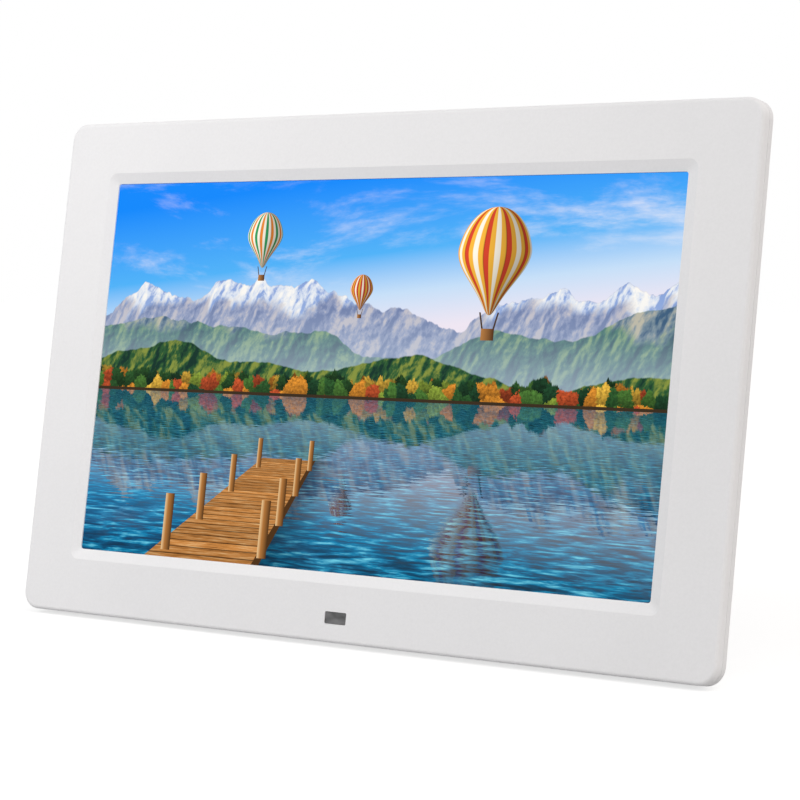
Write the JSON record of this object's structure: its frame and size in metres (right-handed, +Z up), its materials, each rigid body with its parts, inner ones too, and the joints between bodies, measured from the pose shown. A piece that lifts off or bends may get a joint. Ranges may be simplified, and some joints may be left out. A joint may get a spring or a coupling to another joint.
{
  "type": "digital photo frame",
  "caption": "White digital photo frame with a sloped margin round a wide lit screen, leaning back on a fold-out leg, with rear keys, side sockets and keyholes for a wall.",
  "frame": {"origin": "middle of the bounding box on the table plane", "axes": "+X to the right seen from the front, +Y from the front to the back, +Z up; the screen faces -Y and leans back"},
  "size_m": [0.2696, 0.0686, 0.1677],
  "materials": {
    "case_white": "fine satin moulding",
    "key_grey": "satin",
    "ir_smoke": "smoked, polished",
    "screen": "lit display with a fine anti-glare face",
    "sheet_steel": "plain",
    "screw_steel": "zinc plated",
    "light_guide": "clear acrylic",
    "white_plastic": "plain",
    "board_green": "solder mask",
    "black_plastic": "plain",
    "cell_steel": "nickel plated",
    "cone_paper": "paper cone",
    "rubber": "soft matt",
    "lead_white": "flat film",
    "lead_black": "insulated lead"
  },
  "bodies": {
    "case": {"front_bezel": "case_white", "ir_window": "ir_smoke", "lcd_frame": "sheet_steel", "lcd_glass": "screen", "backlight_tray": "white_plastic", "light_guide": "light_guide", "led_strip": "board_green", "panel_tabs": "sheet_steel", "panel_tab_screws": "screw_steel", "ir_board": "board_green", "ir_receiver": "black_plastic", "rear_cover": "case_white", "case_screws": "screw_steel", "main_board": "board_green", "key_board": "board_green", "board_screws": "screw_steel", "processor": "black_plastic", "memory_chips": "black_plastic", "clock_crystal": "sheet_steel", "power_coils": "black_plastic", "capacitors": "cell_steel", "coin_cell_holder": "black_plastic", "coin_cell": "cell_steel", "plug_sockets": "white_plastic", "card_socket": "sheet_steel", "usb_socket": "sheet_steel", "usb_tongue": "black_plastic", "phones_jack": "black_plastic", "power_inlet": "black_plastic", "slide_switch_body": "black_plastic", "key_switches": "black_plastic", "speaker_frames": "black_plastic", "speaker_cones": "cone_paper", "speaker_magnets": "cell_steel", "panel_flex": "lead_white", "key_ribbon": "lead_white", "left_speaker_lead": "lead_black", "right_speaker_lead": "lead_black", "ir_lead": "lead_black", "hinge_pin": "sheet_steel", "hinge_clip": "sheet_steel", "base_feet": "rubber"},
    "stand": {"stand_leg": "case_white", "stand_foot": "rubber"},
    "power_slider": {"slide_switch_knob": "black_plastic"},
    "key_menu_button": {"key_menu": "key_grey", "plunger_menu": "black_plastic"},
    "key_up_button": {"key_up": "key_grey", "plunger_up": "black_plastic"},
    "key_left_button": {"key_left": "key_grey", "plunger_left": "black_plastic"},
    "key_play_button": {"key_play": "key_grey", "plunger_play": "black_plastic"},
    "key_right_button": {"key_right": "key_grey", "plunger_right": "black_plastic"},
    "key_down_button": {"key_down": "key_grey", "plunger_down": "black_plastic"},
    "key_exit_button": {"key_exit": "key_grey", "plunger_exit": "black_plastic"}
  },
  "joints": [
    {"name": "stand_hinge", "type": "hinge", "parent": "case", "child": "stand", "pos_m": [0, 0.00481, 0.11551], "axis": [1, 0, 0], "range_deg": [-22, 0]},
    {"name": "power_slide", "type": "slide", "parent": "case", "child": "power_slider", "axis": [0, 0.1633, 0.9866], "range_m": [-0.002, 0]},
    {"name": "key_menu_press", "type": "slide", "parent": "case", "child": "key_menu_button", "axis": [0, -0.9866, 0.1633], "range_m": [0, 0.0005], "stiffness_N_per_m": 400},
    {"name": "key_up_press", "type": "slide", "parent": "case", "child": "key_up_button", "axis": [0, -0.9866, 0.1633], "range_m": [0, 0.0005], "stiffness_N_per_m": 400},
    {"name": "key_left_press", "type": "slide", "parent": "case", "child": "key_left_button", "axis": [0, -0.9866, 0.1633], "range_m": [0, 0.0005], "stiffness_N_per_m": 400},
    {"name": "key_play_press", "type": "slide", "parent": "case", "child": "key_play_button", "axis": [0, -0.9866, 0.1633], "range_m": [0, 0.0005], "stiffness_N_per_m": 400},
    {"name": "key_right_press", "type": "slide", "parent": "case", "child": "key_right_button", "axis": [0, -0.9866, 0.1633], "range_m": [0, 0.0005], "stiffness_N_per_m": 400},
    {"name": "key_down_press", "type": "slide", "parent": "case", "child": "key_down_button", "axis": [0, -0.9866, 0.1633], "range_m": [0, 0.0005], "stiffness_N_per_m": 400},
    {"name": "key_exit_press", "type": "slide", "parent": "case", "child": "key_exit_button", "axis": [0, -0.9866, 0.1633], "range_m": [0, 0.0005], "stiffness_N_per_m": 400}
  ]
}
